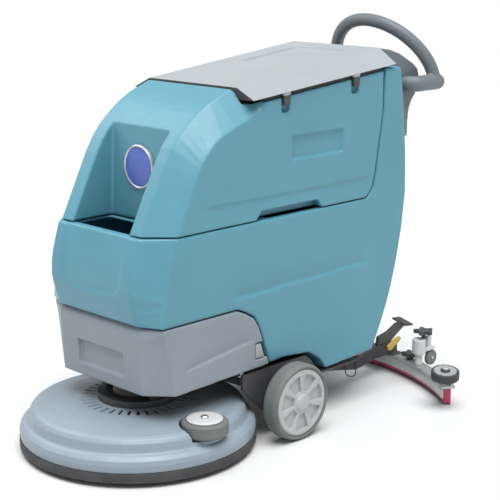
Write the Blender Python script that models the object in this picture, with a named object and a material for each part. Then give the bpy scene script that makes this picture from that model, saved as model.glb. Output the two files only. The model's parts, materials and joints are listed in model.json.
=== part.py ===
"""Walk-behind wet and dry floor scrubber with a disc brush deck, two stacked tanks and a curved squeegee.

Metres, +Z up, the front of the machine towards -Y. Shapes are written in the machine frame, whose origin
lies on the floor under the middle of the brush deck; one empty shifts the whole machine so that the world
origin is on the floor at the middle of its outline.
"""

from math import atan, cos, pi, radians, sin, tan

import bmesh
import bpy
from mathutils import Matrix, Vector

# Overall sizes
GAP = 0.0003  # between parts that touch
MACHINE_FRONT = -0.280
MACHINE_REAR = 0.921
BODY_HALF_WIDTH = 0.197
FRONT_FACE_HALF_WIDTH = 0.140

# Brush deck
DECK_RADIUS = 0.280
DECK_TOP = 0.118
SKIRT_HEIGHT = (0.012, 0.034)
BRUSH_RADIUS = 0.250
BRISTLE_LENGTH = 0.032
VENT_COUNT = 36
GUIDE_ROLLER = (0.231, 0.0, 0.085)
GUIDE_ROLLER_RADIUS = 0.054
DECK_PIVOT = (0.0, 0.225, 0.144)

# Wheels
WHEEL_RADIUS = 0.0935
WHEEL_INNER_X = 0.225
WHEEL_OUTER_X = 0.272
AXLE_Y = 0.281
AXLE_RADIUS = 0.010
HUB_RADIUS = 0.0752
HUB_POCKETS = 7
CASTER_SWIVEL_Y = 0.530
CASTER_TRAIL = 0.018
CASTER_RADIUS = 0.0375

# Tanks
WALL = 0.006
SEAM_Z = 0.534  # top of the solution tank
SEAM_GAP = 0.003
RIM_SLOPE = tan(radians(5.5))  # the recovery tank's rim and its lid rise to the rear
RIM_Z_AT_ZERO = 0.786
LID_EDGE_RISE = 0.0107  # lid's lower edge above the rim
TANK_HINGE = (-0.2035, 0.35, 0.5355)
LID_HINGE_X = 0.196
LID_HINGE_DROP = 0.012  # below the rim
LID_LUGS_Y = (0.295, 0.539)
BAY_HALF_WIDTH = 0.177
BAY_Y = (0.256, 0.585)
BAY_FLOOR = 0.232
BATTERY_SIZE = (0.168, 0.306, 0.215)
SUCTION_INLET = (-0.080, 0.600)  # (x, z) on the rear of the column

# Console and handle
CONSOLE_HALF_WIDTH = 0.140
PANEL_FRONT = (0.702, 0.880)  # (y, z), 22 mm below the cheeks on either side
PANEL_REAR = (0.806, 0.844)
BUTTON_X = (0.004, 0.040, 0.076)
BUTTON_RADIUS = 0.010
HANDLE_HALF_WIDTH = 0.169
HANDLE_RADIUS = 0.0175
HANDLE_BASE = (0.889, 0.800)  # (y, z) where the arch stands on its arms
HANDLE_TOP = (0.808, 0.957)
HANDLE_ARM_RADIUS = 0.021
HANDLE_ARM_Y = (0.800, 0.900)  # from the console to the middle of the domed end

# Squeegee
BLADE_ARC_RADIUS = 0.631
BLADE_ARC_Y = 0.2205
BLADE_THICKNESS = 0.004
BLADE_HALF_ANGLE = 36.7
CASTING_HALF_ANGLE = 36.9
CASTING_TOP = 0.052
SQUEEGEE_PIVOT = (0.0, 0.500, 0.088)
SQUEEGEE_ARM_X = 0.100
END_ROLLER = (0.376, 0.700, 0.082)
END_ROLLER_RADIUS = 0.0360
END_ROLLER_LEAN = 9.0  # degrees, outwards and forwards
ADJUSTER = (0.212, 0.803)
ADJUSTER_KNOB = (0.2170, 0.8155)
CLAMP_KNOB = (0.166, 0.826)
SQUEEGEE_WHEEL = (0.2240, 0.8396, 0.067)
SQUEEGEE_WHEEL_RADIUS = 0.0210

SIDES = {"left": 1, "right": -1}  # the machine's left is +X, seen from behind the handle


# ---------------------------------------------------------------- shapes


def box(low, high):
    """A block between two corners."""
    low = Vector(low)
    high = Vector(high)
    size = Matrix.Diagonal((*(high - low), 1))
    shape = bmesh.new()
    bmesh.ops.create_cube(shape, size=1.0, matrix=Matrix.Translation((low + high) / 2) @ size)
    return shape


def loft(sections):
    """A closed skin through sections of equal point counts, capped at both ends."""
    shape = bmesh.new()
    rings = [[shape.verts.new(point) for point in section] for section in sections]
    for near, far in zip(rings, rings[1:]):
        for i in range(len(near)):
            j = (i + 1) % len(near)
            shape.faces.new((near[i], near[j], far[j], far[i]))
    shape.faces.new(rings[0])
    shape.faces.new(rings[-1][::-1])
    shape.normal_update()
    bmesh.ops.triangulate(shape, faces=shape.faces)
    return shape


def across(outline, low, high):
    """A (y, z) outline extruded along X."""
    return loft([[(x, y, z) for y, z in outline] for x in (low, high)])


def upright(outline, low, high):
    """An (x, y) outline extruded along Z."""
    return loft([[(x, y, z) for x, y in outline] for z in (low, high)])


def turned(profile, centre=(0, 0, 0), axis="Z", steps=32, start=0.0, sweep=360.0):
    """A closed (radius, height) outline turned about an axis. A part turn has flat ends."""
    whole = sweep >= 360
    shape = bmesh.new()
    rings = []
    for i in range(steps if whole else steps + 1):
        angle = radians(start + sweep * i / steps)
        rings.append([shape.verts.new((r * cos(angle), r * sin(angle), h)) for r, h in profile])
    pairs = list(zip(rings, rings[1:]))
    if whole:
        pairs.append((rings[-1], rings[0]))
    for near, far in pairs:
        for i in range(len(profile)):
            j = (i + 1) % len(profile)
            shape.faces.new((near[i], near[j], far[j], far[i]))
    if not whole:
        shape.faces.new(rings[0])
        shape.faces.new(rings[-1][::-1])
    bmesh.ops.remove_doubles(shape, verts=shape.verts, dist=1e-6)
    for edge in [edge for edge in shape.edges if not edge.link_faces]:
        shape.edges.remove(edge)
    turns = {"X": Matrix.Rotation(pi / 2, 4, "Y"), "Y": Matrix.Rotation(-pi / 2, 4, "X"), "Z": Matrix()}
    bmesh.ops.transform(shape, verts=shape.verts, matrix=Matrix.Translation(centre) @ turns[axis])
    return shape


def rod(radius, low, high, centre, axis="Z", steps=16):
    """A cylinder whose ends lie at low and high along its axis."""
    return turned([(0, low), (radius, low), (radius, high), (0, high)], centre, axis, steps)


def tube(points, radii, steps=12):
    """A round bar along a smooth line of points, with its own radius at each, and flat ends."""
    points = [Vector(point) for point in points]
    rings = []
    side = Vector((0, 0, 1))
    for i, point in enumerate(points):
        ahead = (points[min(i + 1, len(points) - 1)] - points[max(i - 1, 0)]).normalized()
        side = (side - ahead * side.dot(ahead)).normalized()
        up = ahead.cross(side)
        angles = [2 * pi * k / steps for k in range(steps)]
        rings.append([point + radii[i] * (side * cos(angle) + up * sin(angle)) for angle in angles])
    return loft(rings)


def swept_arc(section, half_angle, steps=26):
    """A (radius, z) outline carried along the squeegee's curve, which is centred ahead of the machine's rear."""
    return turned(section, (0, BLADE_ARC_Y, 0), "Z", steps, 90 - half_angle, 2 * half_angle)


def mirrored(shape):
    """The same shape on the machine's other side."""
    bmesh.ops.scale(shape, vec=(-1, 1, 1), verts=shape.verts)
    bmesh.ops.reverse_faces(shape, faces=shape.faces)
    return shape


def on_side(side, shape):
    return shape if side > 0 else mirrored(shape)


def curve_through(points, per_span=3):
    """A smooth curve through a few points, as points closer together."""
    ends = [points[0]] + list(points) + [points[-1]]
    found = []
    for before, start, end, after in zip(ends, ends[1:], ends[2:], ends[3:]):
        for i in range(per_span):
            t = i / per_span
            found.append(
                tuple(
                    0.5 * (2 * b + (c - a) * t + (2 * a - 5 * b + 4 * c - d) * t**2 + (3 * b - a - 3 * c + d) * t**3)
                    for a, b, c, d in zip(before, start, end, after)
                )
            )
    return found + [tuple(points[-1])]


def inset(outline, distance):
    """A clockwise or anticlockwise outline moved inwards by a distance."""
    area = sum(a[0] * b[1] - b[0] * a[1] for a, b in zip(outline, outline[1:] + outline[:1]))
    turn = 1 if area > 0 else -1
    moved = []
    for i, here in enumerate(outline):
        before = Vector(here) - Vector(outline[i - 1])
        after = Vector(outline[(i + 1) % len(outline)]) - Vector(here)
        normals = [Vector((-turn * edge.y, turn * edge.x)).normalized() for edge in (before, after)]
        mean = (normals[0] + normals[1]).normalized()
        reach = distance / max(mean.dot(normals[0]), 0.4)
        moved.append((here[0] + mean.x * reach, here[1] + mean.y * reach))
    return moved


def star(radius, centre, lobes=5, steps=30):
    """The outline of a star knob."""
    outline = []
    for i in range(steps):
        angle = 2 * pi * i / steps
        reach = radius * (0.76 + 0.24 * cos(lobes * angle))
        outline.append((centre[0] + reach * cos(angle), centre[1] + reach * sin(angle)))
    return outline


# ---------------------------------------------------------------- scene


PIVOTS = {}


def add_pivot(name, point, parent=None):
    """An empty on a joint's axis. The pieces that move about it are its children."""
    empty = bpy.data.objects.new(name + "_pivot", None)
    bpy.context.scene.collection.objects.link(empty)
    empty.empty_display_size = 0.03
    point = Vector(point)
    if parent:
        empty.parent = PIVOTS[parent][0]
        empty.location = point - PIVOTS[parent][1]
    PIVOTS[name] = (empty, point)


def add_part(name, shape, material, pivot="machine"):
    """An object from a shape in the machine frame, with its origin on its pivot."""
    empty, point = PIVOTS[pivot]
    bmesh.ops.translate(shape, verts=shape.verts, vec=-point)
    bmesh.ops.recalc_face_normals(shape, faces=shape.faces)
    mesh = bpy.data.meshes.new(name)
    shape.to_mesh(mesh)
    shape.free()
    mesh.shade_smooth()
    mesh.set_sharp_from_angle(angle=radians(35))
    if material:
        mesh.materials.append(material)
    part = bpy.data.objects.new(name, mesh)
    part.parent = empty
    part["pivot"] = pivot
    bpy.context.scene.collection.objects.link(part)
    return part


def add_tool(name, shape, pivot):
    """A shape that only cuts or joins another, and isn't a piece itself."""
    tool = add_part(name, shape, None, pivot)
    tool.hide_render = True
    tool.display_type = "WIRE"
    return tool


def combine(part, operation, tool):
    modifier = part.modifiers.new(tool.name, "BOOLEAN")
    modifier.operation = operation
    modifier.solver = "EXACT"
    modifier.object = tool


def cut(part, *shapes):
    """Takes each shape out of the part."""
    for shape in shapes:
        name = f"{part.name}_cut_{len(part.modifiers)}"
        combine(part, "DIFFERENCE", add_tool(name, shape, part["pivot"]))


def join(part, *shapes):
    """Makes each shape one body with the part."""
    for shape in shapes:
        name = f"{part.name}_join_{len(part.modifiers)}"
        combine(part, "UNION", add_tool(name, shape, part["pivot"]))


def make_material(name, colour, roughness, metallic=0.0):
    material = bpy.data.materials.new(name)
    material.use_nodes = True
    shader = material.node_tree.nodes["Principled BSDF"]
    shader.inputs["Base Color"].default_value = (*colour, 1)
    shader.inputs["Roughness"].default_value = roughness
    shader.inputs["Metallic"].default_value = metallic
    material.diffuse_color = (*colour, 1)
    return material


def make_materials():
    return {
        "blue_plastic": make_material("blue_plastic", (0.115, 0.345, 0.440), 0.42),
        "lid_plastic": make_material("lid_plastic", (0.560, 0.600, 0.630), 0.45),
        "cover_plastic": make_material("cover_plastic", (0.240, 0.285, 0.330), 0.50),
        "deck_plastic": make_material("deck_plastic", (0.290, 0.360, 0.430), 0.45),
        "console_plastic": make_material("console_plastic", (0.150, 0.170, 0.185), 0.55),
        "black_rubber": make_material("black_rubber", (0.035, 0.035, 0.038), 0.75),
        "grey_tyre": make_material("grey_tyre", (0.130, 0.145, 0.140), 0.80),
        "hub_plastic": make_material("hub_plastic", (0.420, 0.430, 0.440), 0.50),
        "white_plastic": make_material("white_plastic", (0.700, 0.710, 0.720), 0.45),
        "black_steel": make_material("black_steel", (0.045, 0.045, 0.048), 0.50, 0.3),
        "bright_steel": make_material("bright_steel", (0.620, 0.620, 0.610), 0.30, 1.0),
        "cast_metal": make_material("cast_metal", (0.480, 0.490, 0.490), 0.42, 0.8),
        "red_blade": make_material("red_blade", (0.560, 0.040, 0.100), 0.50),
        "black_plastic": make_material("black_plastic", (0.050, 0.052, 0.055), 0.50),
        "yellow_plastic": make_material("yellow_plastic", (0.650, 0.420, 0.070), 0.45),
        "red_plastic": make_material("red_plastic", (0.600, 0.030, 0.025), 0.40),
        "emblem_blue": make_material("emblem_blue", (0.080, 0.140, 0.560), 0.30),
        "gauge_lens": make_material("gauge_lens", (0.050, 0.090, 0.070), 0.15),
        "bristle": make_material("bristle", (0.080, 0.090, 0.100), 0.85),
        "battery_case": make_material("battery_case", (0.070, 0.072, 0.075), 0.55),
    }


# ---------------------------------------------------------------- outlines of the body, all (y, z)


def rim_z(y):
    return RIM_Z_AT_ZERO + RIM_SLOPE * y


def solution_outline(middle):
    """Side view of the solution tank: its front face is further forward in the middle than at its sides."""
    if middle:
        front = curve_through([(-0.110, SEAM_Z), (-0.130, 0.468), (-0.136, 0.417), (-0.126, 0.372), (-0.115, 0.337)], 2)
    else:
        front = curve_through([(-0.043, SEAM_Z), (-0.062, 0.468), (-0.075, 0.417), (-0.085, 0.372), (-0.090, 0.337)], 2)
    over_cover = curve_through([(0.140, 0.337), (0.195, 0.309), (0.2215, 0.257), (0.247, 0.185)], 2)
    wheel_arch = curve_through([(0.297, 0.187), (0.384, 0.179), (0.424, 0.154), (0.448, 0.124)], 1)
    back = [(0.626, 0.131)] + curve_through(
        [(0.643, 0.167), (0.678, 0.238), (0.716, 0.354), (0.746, 0.533), (0.733, 0.728), (0.715, 0.853)], 2
    )
    if middle:
        back = [back[0]] + [(y + 0.015, z) for y, z in back[1:]]
    seam = [(0.656, 0.853)] + curve_through(
        [(0.652, 0.751), (0.636, 0.652), (0.618, 0.560), (0.590, SEAM_Z)], 2
    )
    return front + over_cover + wheel_arch + back + seam


def recovery_outline(middle):
    """Side view of the recovery tank, up to the rim that its lid closes."""
    base = SEAM_Z + SEAM_GAP
    if middle:
        front = curve_through(
            [(-0.100, base), (-0.060, 0.617), (-0.004, 0.721), (0.051, 0.776), (0.107, 0.812), (0.171, 0.837)], 3
        )
        ledge = [(0.1765, 0.836), (0.1780, 0.826)]
    else:
        front = curve_through(
            [(-0.043, base), (-0.003, 0.618), (0.019, 0.663), (0.047, 0.705), (0.092, 0.741), (0.208, 0.783)], 3
        )
        ledge = [(0.222, 0.790), (0.238, 0.820)]
    seam = [(0.648, rim_z(0.648) + 0.012)] + curve_through(
        [(0.6465, 0.751), (0.6305, 0.652), (0.6125, 0.565), (0.587, base)], 2
    )
    return front + ledge + seam


def cover_outline(middle):
    """Side view of the motor cover under the front of the solution tank."""
    if middle:
        front = [(-0.106, 0.175), (-0.113, 0.300), (-0.1135, 0.327), (-0.110, 0.334)]
    else:
        front = [(-0.055, 0.175), (-0.079, 0.300), (-0.085, 0.327), (-0.083, 0.334)]
    return front + curve_through([(0.138, 0.334), (0.192, 0.306), (0.218, 0.256), (0.243, 0.183)], 2)


def body_loft(outline, shrink=0.0):
    """A body piece: its middle outline across the front face, and its side outline at the flanks."""
    middle, flank = [inset(outline(which), shrink) if shrink else outline(which) for which in (True, False)]
    half, face = BODY_HALF_WIDTH - shrink, FRONT_FACE_HALF_WIDTH
    sections = [(-half, flank), (-face, middle), (face, middle), (half, flank)]
    return loft([[(x, y, z) for y, z in points] for x, points in sections])


# ---------------------------------------------------------------- brush deck


def add_deck(paint):
    add_pivot("deck_lift", DECK_PIVOT, "machine")
    skirt_low, skirt_high = SKIRT_HEIGHT
    outer = [
        (0.278, skirt_high + GAP), (0.2795, 0.050), (0.277, 0.061), (0.269, 0.069), (0.260, 0.072),
        (0.2575, 0.078), (0.2545, 0.093), (0.248, 0.1015), (0.238, 0.1055), (0.135, 0.116), (0.030, DECK_TOP),
    ]
    inner = [
        (0.030, DECK_TOP - 0.006), (0.134, 0.110), (0.235, 0.0995), (0.248, 0.090), (0.252, 0.066),
        (0.270, 0.060), (0.272, 0.050), (0.272, skirt_high + GAP),
    ]
    cover = add_part("deck_cover", turned(outer + inner, steps=60), paint["deck_plastic"], "deck_lift")
    x, y, z = GUIDE_ROLLER
    seat_radius = GUIDE_ROLLER_RADIUS + 0.004
    join(cover, rod(seat_radius - 0.008, 0.074, z - 0.004, (x - 0.012, y, 0), steps=24))
    cut(cover, rod(seat_radius, z - 0.0045, 0.2, (x, y, 0), steps=32))
    slots = bmesh.new()
    for i in range(VENT_COUNT):
        turn = Matrix.Rotation(2 * pi * i / VENT_COUNT, 4, "Z")
        size = Matrix.Diagonal((0.032, 0.0055, 0.05, 1))
        bmesh.ops.create_cube(slots, size=1.0, matrix=turn @ Matrix.Translation((0.117, 0, DECK_TOP)) @ size)
    cut(cover, slots)

    skirt = [(0.2720, skirt_low), (DECK_RADIUS, skirt_low), (DECK_RADIUS, skirt_high), (0.2720, skirt_high)]
    add_part("deck_skirt", turned(skirt, steps=60), paint["black_rubber"], "deck_lift")

    flange_top = DECK_TOP + 0.0145
    motor = [
        (0, DECK_TOP + GAP), (0.096, DECK_TOP + GAP), (0.096, flange_top), (0.060, flange_top), (0.052, 0.150),
        (0.052, 0.272), (0.044, 0.285), (0, 0.285),
    ]
    add_part("brush_motor", turned(motor, steps=24), paint["black_steel"], "deck_lift")

    low, high = flange_top + GAP, flange_top + 0.0225
    arms = add_part("deck_arm", box((0.076, -0.030, low), (0.086, 0.238, high)), paint["black_steel"], "deck_lift")
    join(arms, box((-0.086, -0.030, low), (-0.076, 0.238, high)), box((-0.080, 0.100, low + 0.002), (0.080, 0.112, high - 0.002)))
    cut(arms, rod(0.0086, -0.12, 0.12, DECK_PIVOT, "X"))

    pin = [(0, z - 0.004), (0.0062, z - 0.004), (0.0062, z + 0.0345), (0.010, z + 0.0348), (0.010, z + 0.0395),
           (0.007, z + 0.042), (0, z + 0.042)]
    add_part("guide_roller_pin", turned(pin, (x, y, 0), steps=12), paint["bright_steel"], "deck_lift")
    add_pivot("guide_roller", (x, y, 0), "deck_lift")
    wide = GUIDE_ROLLER_RADIUS
    roller = [
        (0.0070, z), (wide - 0.004, z), (wide, z + 0.004), (wide, z + 0.028), (wide - 0.004, z + 0.032),
        (0.043, z + 0.033), (0.040, z + 0.030), (0.012, z + 0.034), (0.0070, z + 0.034),
    ]
    add_part("guide_roller", turned(roller, (x, y, 0), steps=32), paint["grey_tyre"], "guide_roller")


def add_brush(paint):
    add_pivot("brush", (0, 0, 0), "deck_lift")
    block = [
        (0, BRISTLE_LENGTH + GAP), (BRUSH_RADIUS - 0.006, BRISTLE_LENGTH + GAP), (BRUSH_RADIUS - 0.006, 0.050),
        (0.080, 0.054), (0.026, 0.060), (0.026, DECK_TOP - GAP), (0, DECK_TOP - GAP),
    ]
    add_part("brush_block", turned(block, steps=40), paint["black_plastic"], "brush")
    tufts = [(0.160, 0), (BRUSH_RADIUS, 0), (BRUSH_RADIUS - 0.007, BRISTLE_LENGTH), (0.165, BRISTLE_LENGTH)]
    add_part("brush_bristles", turned(tufts, steps=40), paint["bristle"], "brush")


# ---------------------------------------------------------------- chassis and wheels


def add_chassis(paint):
    centre_line = [(0.190, 0.166), (0.372, 0.166), (0.402, 0.148), (0.432, 0.112), (0.575, 0.112)]
    thickness = 0.006
    above = [(y, z + thickness / 2) for y, z in centre_line]
    below = [(y, z - thickness / 2) for y, z in centre_line]
    frame = add_part("chassis_frame", across(above + below[::-1], -0.187, 0.187), paint["black_steel"])
    for side in SIDES.values():
        bracket = [(0.160, 0.172), (0.375, 0.172), (0.400, 0.152), (0.345, 0.062), (0.235, 0.062), (0.160, 0.135)]
        join(frame, on_side(side, across(bracket, 0.184, 0.192)))
        join(frame, on_side(side, box((0.090, 0.206, 0.127), (0.097, 0.244, 0.166))))
        squeegee_lug = box((0.109, 0.485, 0.073), (0.116, 0.515, 0.112))
        join(frame, on_side(side, squeegee_lug))
        _, pivot_y, pivot_z = SQUEEGEE_PIVOT
        join(frame, on_side(side, rod(0.006, 0.093, 0.112, (0, pivot_y, pivot_z), "X")))
    cut(frame, rod(AXLE_RADIUS + 0.0006, -0.3, 0.3, (0, AXLE_Y, WHEEL_RADIUS), "X"))
    cut(frame, rod(0.0084, -0.12, 0.12, DECK_PIVOT, "X"))
    cut(frame, rod(0.0090, 0.09, 0.13, (0, CASTER_SWIVEL_Y, 0)))
    add_part("deck_pivot_pin", rod(0.008, -0.104, 0.104, DECK_PIVOT, "X"), paint["bright_steel"])
    add_part("wheel_axle", rod(AXLE_RADIUS, -0.266, 0.266, (0, AXLE_Y, WHEEL_RADIUS), "X"), paint["bright_steel"])


def add_main_wheels(paint):
    tread = WHEEL_RADIUS
    tyre = [
        (0.0758, WHEEL_INNER_X + 0.003), (0.0850, WHEEL_INNER_X), (tread - 0.004, WHEEL_INNER_X + 0.002),
        (tread, WHEEL_INNER_X + 0.010), (tread, WHEEL_OUTER_X - 0.010), (tread - 0.004, WHEEL_OUTER_X - 0.002),
        (0.0850, WHEEL_OUTER_X), (0.0758, WHEEL_OUTER_X - 0.003),
    ]
    hub = [
        (0, 0.2672), (AXLE_RADIUS + 0.0004, 0.2672), (AXLE_RADIUS + 0.0004, WHEEL_INNER_X - 0.004),
        (0.022, WHEEL_INNER_X - 0.004), (0.024, 0.236), (0.068, 0.236), (0.070, WHEEL_INNER_X + 0.003),
        (HUB_RADIUS, WHEEL_INNER_X + 0.003), (HUB_RADIUS, WHEEL_OUTER_X - 0.004), (0.071, WHEEL_OUTER_X - 0.001),
        (0.022, WHEEL_OUTER_X - 0.003), (0.019, WHEEL_OUTER_X + 0.002), (0.010, WHEEL_OUTER_X + 0.004),
        (0, WHEEL_OUTER_X + 0.004),
    ]
    for name, side in SIDES.items():
        pivot = f"wheel_{name}"
        centre = (0, AXLE_Y, WHEEL_RADIUS)
        add_pivot(pivot, centre, "machine")
        add_part(f"tyre_{name}", on_side(side, turned(tyre, centre, "X", 40)), paint["grey_tyre"], pivot)
        wheel = add_part(f"hub_{name}", on_side(side, turned(hub, centre, "X", 35)), paint["hub_plastic"], pivot)
        for i in range(HUB_POCKETS):
            turn = 360 * i / HUB_POCKETS
            wedge = [(0.028, 0.254), (0.063, 0.254), (0.063, 0.29), (0.028, 0.29)]
            width = 360 / HUB_POCKETS - 15
            cut(wheel, on_side(side, turned(wedge, centre, "X", 3, turn - width / 2, width)))


def add_caster(paint):
    swivel = (0, CASTER_SWIVEL_Y, 0)
    axle = (0, CASTER_SWIVEL_Y + CASTER_TRAIL, CASTER_RADIUS)
    add_pivot("caster_swivel", swivel, "machine")
    head = [(0, 0.088), (0.026, 0.088), (0.026, 0.1075), (0.0085, 0.1078), (0.0085, 0.1185), (0, 0.1185)]
    fork = add_part("caster_fork", turned(head, swivel, steps=20), paint["bright_steel"], "caster_swivel")
    cheek = [(0.515, 0.092), (0.548, 0.092), (0.558, 0.040), (0.553, 0.028), (0.543, 0.028), (0.538, 0.040)]
    for side in SIDES.values():
        join(fork, on_side(side, across(cheek, 0.0185, 0.0225)))
    join(fork, rod(0.0050, -0.0245, 0.0245, axle, "X", 12))
    add_pivot("caster_wheel", axle, "caster_swivel")
    wheel = [
        (0.0055, -0.017), (0.012, -0.017), (0.014, -0.015), (CASTER_RADIUS - 0.002, -0.015),
        (CASTER_RADIUS, -0.011), (CASTER_RADIUS, 0.011), (CASTER_RADIUS - 0.002, 0.015), (0.014, 0.015),
        (0.012, 0.017), (0.0055, 0.017),
    ]
    add_part("caster_wheel", turned(wheel, axle, "X", 28), paint["black_rubber"], "caster_wheel")


# ---------------------------------------------------------------- body


def add_motor_cover(paint):
    cover = add_part("motor_cover", body_loft(cover_outline), paint["cover_plastic"])
    hollow = []
    for middle in (True, False):
        outline = inset(cover_outline(middle), 0.005)
        front, rear = outline[0], outline[-1]
        hollow.append([(front[0], 0.150)] + outline[1:-1] + [(rear[0] + 0.002, 0.150)])
    half = BODY_HALF_WIDTH - 0.005
    face = FRONT_FACE_HALF_WIDTH - 0.002
    places = [(-half, hollow[1]), (-face, hollow[0]), (face, hollow[0]), (half, hollow[1])]
    cut(cover, loft([[(x, y, z) for y, z in points] for x, points in places]))
    join(cover, box((-0.088, -0.1080, 0.199), (0.088, -0.0930, 0.272)))
    cut(cover, box((-0.080, -0.16, 0.207), (0.080, -0.1010, 0.264)))
    for name, side in SIDES.items():
        cut(cover, on_side(side, box((0.180, 0.196, 0.203), (0.21, 0.26, 0.243))))
        latch = across([(0.198, 0.206), (0.226, 0.206), (0.214, 0.240), (0.198, 0.240)], 0.1885, 0.1965)
        add_part(f"cover_latch_{name}", on_side(side, latch), paint["white_plastic"])


def add_solution_tank(paint):
    tank = add_part("solution_tank", body_loft(solution_outline), paint["blue_plastic"])
    bay_low, bay_high = BAY_Y
    water = add_tool("solution_tank_water", body_loft(solution_outline, WALL), "machine")
    cut(water, box((-0.3, bay_low - WALL, BAY_FLOOR - WALL), (0.3, 0.9, 0.9)))
    cut(water, box((-0.3, 0.22, SEAM_Z - 0.012), (0.3, 0.9, 0.9)))
    combine(tank, "DIFFERENCE", water)
    cut(tank, box((-0.104, -0.090, 0.48), (0.104, 0.010, 0.60)))
    cut(tank, box((-BAY_HALF_WIDTH, bay_low, BAY_FLOOR), (BAY_HALF_WIDTH, bay_high, 0.60)))
    rear_room = [(0.575, BAY_FLOOR + 0.006), (0.655, 0.238), (0.701, 0.354), (0.732, 0.533), (0.719, 0.728), (0.703, 0.838),
                 (0.667, 0.838), (0.662, 0.751), (0.646, 0.652), (0.628, 0.560), (0.605, 0.515), (0.575, 0.500)]
    cut(tank, across(rear_room, -0.168, 0.168))
    inlet_x, inlet_z = SUCTION_INLET
    join(tank, rod(0.031, 0.735, 0.7622, (inlet_x, 0, inlet_z), "Y", 24))
    cut(tank, rod(0.0170, 0.70, 0.80, (inlet_x, 0, inlet_z), "Y", 22))

    _, length, height = BATTERY_SIZE
    for name, side in SIDES.items():
        low = (0.002, bay_low + 0.006, BAY_FLOOR + GAP)
        high = (0.002 + BATTERY_SIZE[0], bay_low + 0.006 + length, BAY_FLOOR + GAP + height)
        battery = add_part(f"battery_{name}", on_side(side, box(low, high)), paint["battery_case"])
        for x in (0.050, 0.124):
            join(battery, on_side(side, rod(0.009, high[2] - 0.002, high[2] + 0.014, (x, 0.285, 0), steps=10)))
    vacuum = [(0, 0.338), (0.050, 0.338), (0.052, 0.375), (0.044, 0.380), (0.044, 0.458), (0.026, 0.470), (0, 0.470)]
    add_part("vacuum_motor", turned(vacuum, (0, 0.634, 0), steps=20), paint["black_plastic"])
    inlet = [(0.0175, 0.7625), (0.030, 0.7625), (0.030, 0.767), (0.0215, 0.768), (0.0215, 0.800), (0.0175, 0.800)]
    add_part("suction_inlet", turned(inlet, (inlet_x, 0, inlet_z), "Y", 20), paint["black_plastic"])


def add_recovery_tank(paint):
    add_pivot("tank_tilt", TANK_HINGE, "machine")
    tank = add_part("recovery_tank", body_loft(recovery_outline), paint["blue_plastic"], "tank_tilt")
    hollow = add_tool("recovery_tank_hollow", body_loft(recovery_outline, WALL), "tank_tilt")
    scoop_back = [(0.026, 0.754), (0.014, 0.500)]
    scoop = [(-0.300, 0.500), (-0.300, 0.754)] + scoop_back
    scoop_skin = [(-0.300, 0.500), (-0.300, 0.762), (0.034, 0.762), (0.022, 0.500)]
    cut(hollow, across(scoop_skin, -0.108, 0.108))
    cut(hollow, box((0.160, 0.176, 0.50), (0.25, 0.446, 0.566)))
    rim_depth = 0.045
    rim_slab = [(0.165, rim_z(0.165) - rim_depth), (0.70, rim_z(0.70) - rim_depth), (0.70, 0.95), (0.165, 0.95)]
    cut(hollow, across(rim_slab, -0.3, 0.3))
    combine(tank, "DIFFERENCE", hollow)
    cut(tank, sloped_slab([(-0.3, 0.180), (0.3, 0.180), (0.3, 0.70), (-0.3, 0.70)], 0, 0.08))
    mouth = [(0.200, 0.740), (0.628, 0.770), (0.628, 0.95), (0.200, 0.95)]
    cut(tank, across(mouth, -0.174, 0.174))
    cut(tank, across(scoop, -0.100, 0.100))
    finger_slot = [(0.186, 0.520), (0.219, 0.557), (0.412, 0.557), (0.436, 0.520)]
    cut(tank, across(finger_slot, 0.170, 0.25))
    for y in LID_LUGS_Y:
        top = rim_z(y) + 0.02
        cut(tank, box((0.1835, y - 0.0135, rim_z(y) - 0.0365), (0.22, y + 0.0135, top)))
    cut(tank, box((0.1935, 0.319, 0.664), (0.22, 0.498, 0.719)))

    outer = [(-0.135, 0.190), (0.135, 0.190), (0.191, 0.242), (0.191, 0.642), (-0.191, 0.642), (-0.191, 0.242)]
    gasket = add_part("rim_gasket", sloped_slab(outer, GAP, LID_EDGE_RISE - 0.0006), paint["black_rubber"], "tank_tilt")
    inner = [(-0.131, 0.199), (0.131, 0.199), (0.184, 0.248), (0.184, 0.634), (-0.184, 0.634), (-0.184, 0.248)]
    cut(gasket, sloped_slab(inner, -0.02, 0.03))

    emblem_y = scoop_back[1][0] + (0.661 - 0.500) * 0.012 / 0.254
    lean = Matrix.Translation((0, emblem_y, 0.661)) @ Matrix.Rotation(pi / 2 - atan(0.012 / 0.254), 4, "X")
    emblem = rod(0.051, 0.0006, 0.0046, (0, 0, 0), steps=40)
    bmesh.ops.transform(emblem, verts=emblem.verts, matrix=lean)
    add_part("emblem_disc", emblem, paint["emblem_blue"], "tank_tilt")
    cage = [(0, 0.640), (0.036, 0.640), (0.036, 0.760), (0.033, 0.760), (0.033, 0.644), (0, 0.644)]
    cage_part = add_part("float_cage", turned(cage, (-0.060, 0.545, 0), steps=20), paint["white_plastic"], "tank_tilt")
    pipe = [(0.0225, SEAM_Z + SEAM_GAP + WALL + 0.004), (0.0255, SEAM_Z + SEAM_GAP + WALL + 0.004), (0.0255, 0.642), (0.0225, 0.642)]
    join(cage_part, turned(pipe, (-0.060, 0.545, 0), steps=20))
    add_part("tank_hinge_pin", rod(0.0035, 0.100, 0.500, (TANK_HINGE[0], 0, TANK_HINGE[2]), "Y", 12), paint["bright_steel"])


def sloped_slab(outline, low, high):
    """An (x, y) outline as a slab lying along the rising rim, between two heights above it."""
    return loft([[(x, y, rim_z(y) + rise) for x, y in outline] for rise in (low, high)])


def lid_section(y, top, edge, half_top, half_edge):
    return [(half_edge, y, edge), (half_top, y, top), (-half_top, y, top), (-half_edge, y, edge)]


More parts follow.
